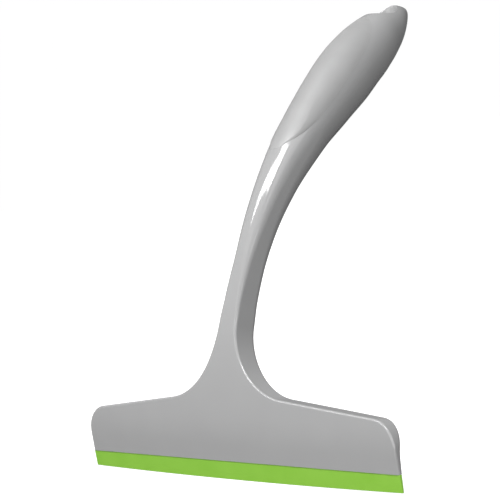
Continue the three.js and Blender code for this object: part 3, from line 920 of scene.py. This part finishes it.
def screw_mesh(name, x, s, length):
    """A countersunk screw with a slightly domed head, a cross recess and a threaded shank."""
    matrix = stand(x, s, depth_at(s) - SCREW_SINK)
    profile = thread_profile(length)
    profile.append((SCREW_SHANK_RADIUS, -SCREW_HEAD_HEIGHT - THREAD_RUNOUT))
    profile.append((SCREW_SHANK_RADIUS, -SCREW_HEAD_HEIGHT))
    profile += arc(SCREW_HEAD_RADIUS, -SCREW_CROWN, SCREW_RIM_ROUNDING)
    profile += [(SCREW_HEAD_RADIUS / 2, 0), (0, 0)]
    points, faces = turned(profile, SCREW_SIDES, matrix)
    screw = mesh_object(name.replace("screw", "Screw"), points, faces)
    cut(screw, cross_cutter(matrix))
    return screw


# ---------------------------------------------------------------- lip


def jaw_half_section():
    """The bead and web in the jaw, as (distance from the web's middle, z) down one side."""
    half_web = (WEB_BACK - WEB_FRONT) / 2
    pairs = []
    for k in range(BEAD_STEPS + 1):
        angle = math.pi / 2 - BEAD_TURN * k / BEAD_STEPS
        z = HEAD_BOTTOM + BEAD_RISE + BEAD_RADIUS * math.sin(angle)
        pairs.append((BEAD_RADIUS * math.cos(angle), z))
    for level in WEB_LEVELS:
        pairs.append((half_web, HEAD_BOTTOM + level))
    return pairs


def lip_side(top, edge, corner_way, edge_z):
    """(y, z) down one face of the free lip, from its rounded shoulder to the wiping edge."""
    shoulder = HEAD_BOTTOM - SHOULDER_GAP
    pairs = []
    for k in range(SEAM_STEPS + 1):
        angle = math.pi / 2 * k / SEAM_STEPS
        y = top + corner_way * LIP_CORNER * (1 - math.sin(angle))
        pairs.append((y, shoulder - LIP_CORNER * (1 - math.cos(angle))))
    start_z = shoulder - LIP_CORNER
    for k in range(1, LIP_ROWS + 1):
        share = k / LIP_ROWS
        pairs.append((top + (edge - top) * share, start_z + (edge_z + LIP_EDGE_CORNER - start_z) * share))
    pairs.append((edge + corner_way * LIP_EDGE_CORNER, edge_z))
    return pairs


def lip_section(edge_z):
    """The lip's outline in the YZ plane: down its front from the bead to the edge, and up its back."""
    web_middle = (WEB_FRONT + WEB_BACK) / 2
    jaw = jaw_half_section()
    front = [(web_middle - offset, z) for offset, z in jaw]
    front += lip_side(LIP_MIDDLE - LIP_THICKNESS / 2, LIP_EDGE_FRONT, 1, edge_z)
    back = [(web_middle + offset, z) for offset, z in jaw]
    back += lip_side(LIP_MIDDLE + LIP_THICKNESS / 2, LIP_EDGE_BACK, -1, edge_z)
    return front + back[::-1]


def lip_end(loop, side):
    """The very end of the lip, a little thinner than the section beside it."""
    ring = []
    for p in loop:
        x = side * (root_half if p.z > HEAD_BOTTOM else lip_high.x)
        ring.append(Vector((x, LIP_MIDDLE + (p.y - LIP_MIDDLE) * LIP_END_THICKNESS, p.z)))
    return ring


def lip_mesh():
    """The rubber lip in one piece. Its ends are a little rounded."""
    root_share = root_half / lip_high.x     # the part in the jaw is a little shorter
    loops = []
    for k in range(LIP_COLUMNS + 1):
        across = -1 + 2 * k / LIP_COLUMNS
        edge_z = HEAD_BOTTOM - LIP_DROP - LIP_ARCH * (1 - across**2)
        x = across * (lip_high.x - LIP_END_ROUNDING)
        section = lip_section(edge_z)
        loops.append([Vector((x * root_share if z > HEAD_BOTTOM else x, y, z)) for y, z in section])
    points, faces = skin([lip_end(loops[0], -1)] + loops + [lip_end(loops[-1], 1)])
    return mesh_object("Rubber_lip", points, faces)


# ---------------------------------------------------------------- materials


def new_material(name, **shader_values):
    """A material with its principled shader ready, as (material, shader)."""
    material = bpy.data.materials.new(name)
    material.use_nodes = True
    shader = material.node_tree.nodes["Principled BSDF"]
    for socket, value in shader_values.items():
        shader.inputs[socket.replace("_", " ")].default_value = value
    return material, shader


def noise(material, scale, detail, stretch=(1, 1, 1)):
    """Noise in the object's own space, `scale` waves to the metre."""
    nodes, links = material.node_tree.nodes, material.node_tree.links
    coordinates = nodes.new("ShaderNodeTexCoord")
    mapping = nodes.new("ShaderNodeMapping")
    mapping.inputs["Scale"].default_value = stretch
    texture = nodes.new("ShaderNodeTexNoise")
    texture.inputs["Scale"].default_value = scale
    texture.inputs["Detail"].default_value = detail
    links.new(coordinates.outputs["Object"], mapping.inputs["Vector"])
    links.new(mapping.outputs["Vector"], texture.inputs["Vector"])
    return texture.outputs["Fac"]


def ranged(material, value, low, high):
    """The noise spread over low to high."""
    spread = material.node_tree.nodes.new("ShaderNodeMapRange")
    spread.inputs["From Min"].default_value, spread.inputs["From Max"].default_value = NOISE_RANGE
    spread.inputs["To Min"].default_value = low
    spread.inputs["To Max"].default_value = high
    material.node_tree.links.new(value, spread.inputs["Value"])
    return spread.outputs["Result"]


def tinted(material, shader, value, dark, light):
    """The base colour, varying between two close shades."""
    ramp = material.node_tree.nodes.new("ShaderNodeValToRGB")
    for element, position, colour in zip(ramp.color_ramp.elements, NOISE_RANGE, (dark, light)):
        element.position = position
        element.color = (*colour, 1)
    material.node_tree.links.new(value, ramp.inputs["Fac"])
    material.node_tree.links.new(ramp.outputs["Color"], shader.inputs["Base Color"])


def bumps(material, shader, layers):
    """Stacks bump layers, given as (noise, height in metres)."""
    nodes, links = material.node_tree.nodes, material.node_tree.links
    normal = None
    for value, height in layers:
        bump = nodes.new("ShaderNodeBump")
        bump.inputs["Strength"].default_value = 1.0
        bump.inputs["Distance"].default_value = height
        links.new(value, bump.inputs["Height"])
        if normal is not None:
            links.new(normal, bump.inputs["Normal"])
        normal = bump.outputs["Normal"]
    links.new(normal, shader.inputs["Normal"])


def grey_plastic():
    """Glossy moulded plastic: a faint grain, slow waves from the mould and a little handling wear."""
    material, shader = new_material("Grey_plastic", IOR=1.6)
    grain = noise(material, 2600, 2)
    waves = noise(material, 45, 1)
    wear = noise(material, 75, 3)
    tinted(material, shader, waves, (0.349, 0.349, 0.351), (0.357, 0.357, 0.359))
    material.node_tree.links.new(ranged(material, wear, 0.06, 0.09), shader.inputs["Roughness"])
    bumps(material, shader, [(waves, 0.000002), (grain, 0.0000008)])
    return material


def pad_rubber():
    """Soft-touch rubber with a fine leathery grain."""
    material, shader = new_material("Pad_rubber", IOR=1.6)
    grain = noise(material, 1700, 3)
    patches = noise(material, 120, 4)
    tinted(material, shader, patches, (0.302, 0.302, 0.303), (0.316, 0.316, 0.317))
    material.node_tree.links.new(ranged(material, grain, 0.36, 0.48), shader.inputs["Roughness"])
    bumps(material, shader, [(grain, 0.00003)])
    return material


def green_rubber():
    """Drawn rubber: fine lines along its length and a powdery bloom."""
    material, shader = new_material("Green_rubber")
    lines = noise(material, 1500, 2, (0.02, 1, 1))
    bloom = noise(material, 90, 5)
    tinted(material, shader, bloom, (0.235, 0.52, 0.046), (0.258, 0.545, 0.056))
    material.node_tree.links.new(ranged(material, bloom, 0.42, 0.6), shader.inputs["Roughness"])
    bumps(material, shader, [(lines, 0.00002)])
    return material


def zinc_steel():
    """Zinc-plated steel, slightly mottled and finely scratched."""
    material, shader = new_material("Zinc_steel", Metallic=1.0)
    mottle = noise(material, 700, 4)
    scratches = noise(material, 1400, 3, (0.15, 1, 1))
    tinted(material, shader, mottle, (0.56, 0.56, 0.575), (0.66, 0.66, 0.665))
    material.node_tree.links.new(ranged(material, scratches, 0.2, 0.42), shader.inputs["Roughness"])
    bumps(material, shader, [(scratches, 0.000008)])
    return material


# ---------------------------------------------------------------- pieces


def make_pieces():
    """Every visible piece, in place of its CAD node; all but the lip on the body that it rides."""
    plastic = grey_plastic()

    body = handle_body_mesh()
    cut(body, [pad_cutter(), hole_cutter()])
    finish_surface(body, plastic)
    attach(body, "handle")
    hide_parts("handle_body")

    cover = cover_mesh()
    cut(cover, [screw_seat(x, s) for _, x, s, _ in SCREWS])
    finish_surface(cover, plastic)
    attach(cover, "handle")
    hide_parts("back_cover")

    pad = thumb_pad_mesh()
    finish_surface(pad, pad_rubber())
    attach(pad, "handle")
    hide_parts("thumb_pad")

    lip = lip_mesh()
    finish_surface(lip, green_rubber())
    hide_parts("lip_root", "wiper_lip")
    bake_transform(lip)

    steel = zinc_steel()
    for name, x, s, length in SCREWS:
        screw = screw_mesh(name, x, s, length)
        finish_surface(screw, steel)
        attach(screw, "handle")
        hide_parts(name)


# ---------------------------------------------------------------- studio


def direction(azimuth, elevation):
    """The way out from the object towards an azimuth and elevation in degrees."""
    a, e = math.radians(azimuth), math.radians(elevation)
    return Vector((math.sin(a) * math.cos(e), -math.cos(a) * math.cos(e), math.sin(e)))


def stage_material(name, colour):
    """A matt material that glows white."""
    material, shader = new_material(name, Roughness=0.9, Emission_Strength=STAGE_GLOW)
    shader.inputs["Base Color"].default_value = (*colour, 1)
    shader.inputs["Emission Color"].default_value = (1, 1, 1, 1)
    return material


def softbox(name, aim, azimuth, elevation, distance, size, power):
    """A rectangular soft light that looks at `aim`."""
    light = bpy.data.lights.new(name, "AREA")
    light.shape = "RECTANGLE"
    light.size, light.size_y = size
    light.energy = power
    holder = bpy.data.objects.new(name, light)
    bpy.context.scene.collection.objects.link(holder)
    way = direction(azimuth, elevation)
    holder.location = aim + way * distance
    holder.rotation_mode = "QUATERNION"
    holder.rotation_quaternion = (-way).to_track_quat("-Z", "Y")
    holder.visible_camera = False
    return holder


def seen_by_camera_only(stage_piece):
    """The studio is white to the eye, but throws no light back on the object."""
    stage_piece.visible_diffuse = False
    stage_piece.visible_glossy = False
    stage_piece.visible_shadow = False


def make_floor():
    """A pale floor just under the lip."""
    floor_z = lip_low.z - FLOOR_GAP
    corners = [(sx * STAGE_REACH, sy * STAGE_REACH, floor_z) for sx, sy in SQUARE_CORNERS]
    floor = mesh_object("Floor", corners, [(0, 1, 2, 3)])
    floor.data.materials.append(stage_material("Floor_white", (0.3, 0.3, 0.3)))
    seen_by_camera_only(floor)


def make_surround():
    """A white ball round everything."""
    radius = 2 * STAGE_REACH
    profile = []
    for k in range(SURROUND_RINGS + 1):
        angle = math.pi * k / SURROUND_RINGS
        profile.append((radius * math.sin(angle), -radius * math.cos(angle)))
    points, faces = turned(profile, SURROUND_SIDES, Matrix.Identity(4))
    surround = mesh_object("Surround", points, faces)
    surround.data.materials.append(stage_material("Surround_white", (0, 0, 0)))
    seen_by_camera_only(surround)


def make_world():
    """Even light from all round."""
    world = bpy.data.worlds.new("Studio")
    bpy.context.scene.world = world
    world.use_nodes = True
    background = world.node_tree.nodes["Background"]
    background.inputs["Color"].default_value = (1, 1, 1, 1)
    background.inputs["Strength"].default_value = WORLD_GLOW


def make_lights():
    """The softboxes. The back fill is kept out of the reflections."""
    for name, shift, azimuth, elevation, distance, size, power in LIGHTS + [BACK_FILL]:
        light = softbox(name, LIGHT_AIM + Vector((shift, 0, 0)), azimuth, elevation, distance, size, power)
        light.visible_glossy = name != BACK_FILL[0]


def make_camera():
    """The view from the right and a little above, with the camera rolled."""
    back = direction(CAMERA_AZIMUTH, CAMERA_ELEVATION)
    azimuth = math.radians(CAMERA_AZIMUTH)
    right = Vector((math.cos(azimuth), math.sin(azimuth), 0))
    level = Matrix((right, back.cross(right), back)).transposed()
    turn = level @ Matrix.Rotation(-math.radians(CAMERA_ROLL), 3, "Z")
    camera = bpy.data.objects.new("Camera", bpy.data.cameras.new("Camera"))
    bpy.context.scene.collection.objects.link(camera)
    camera.data.lens = CAMERA_LENS
    camera.data.clip_start, camera.data.clip_end = CAMERA_CLIP
    camera.matrix_world = Matrix.Translation(CAMERA_TARGET + back * CAMERA_DISTANCE) @ turn.to_4x4()
    bpy.context.scene.camera = camera


bpy.context.scene.view_settings.view_transform = "Standard"
make_camera()
make_pieces()
make_floor()
make_surround()
make_world()
make_lights()
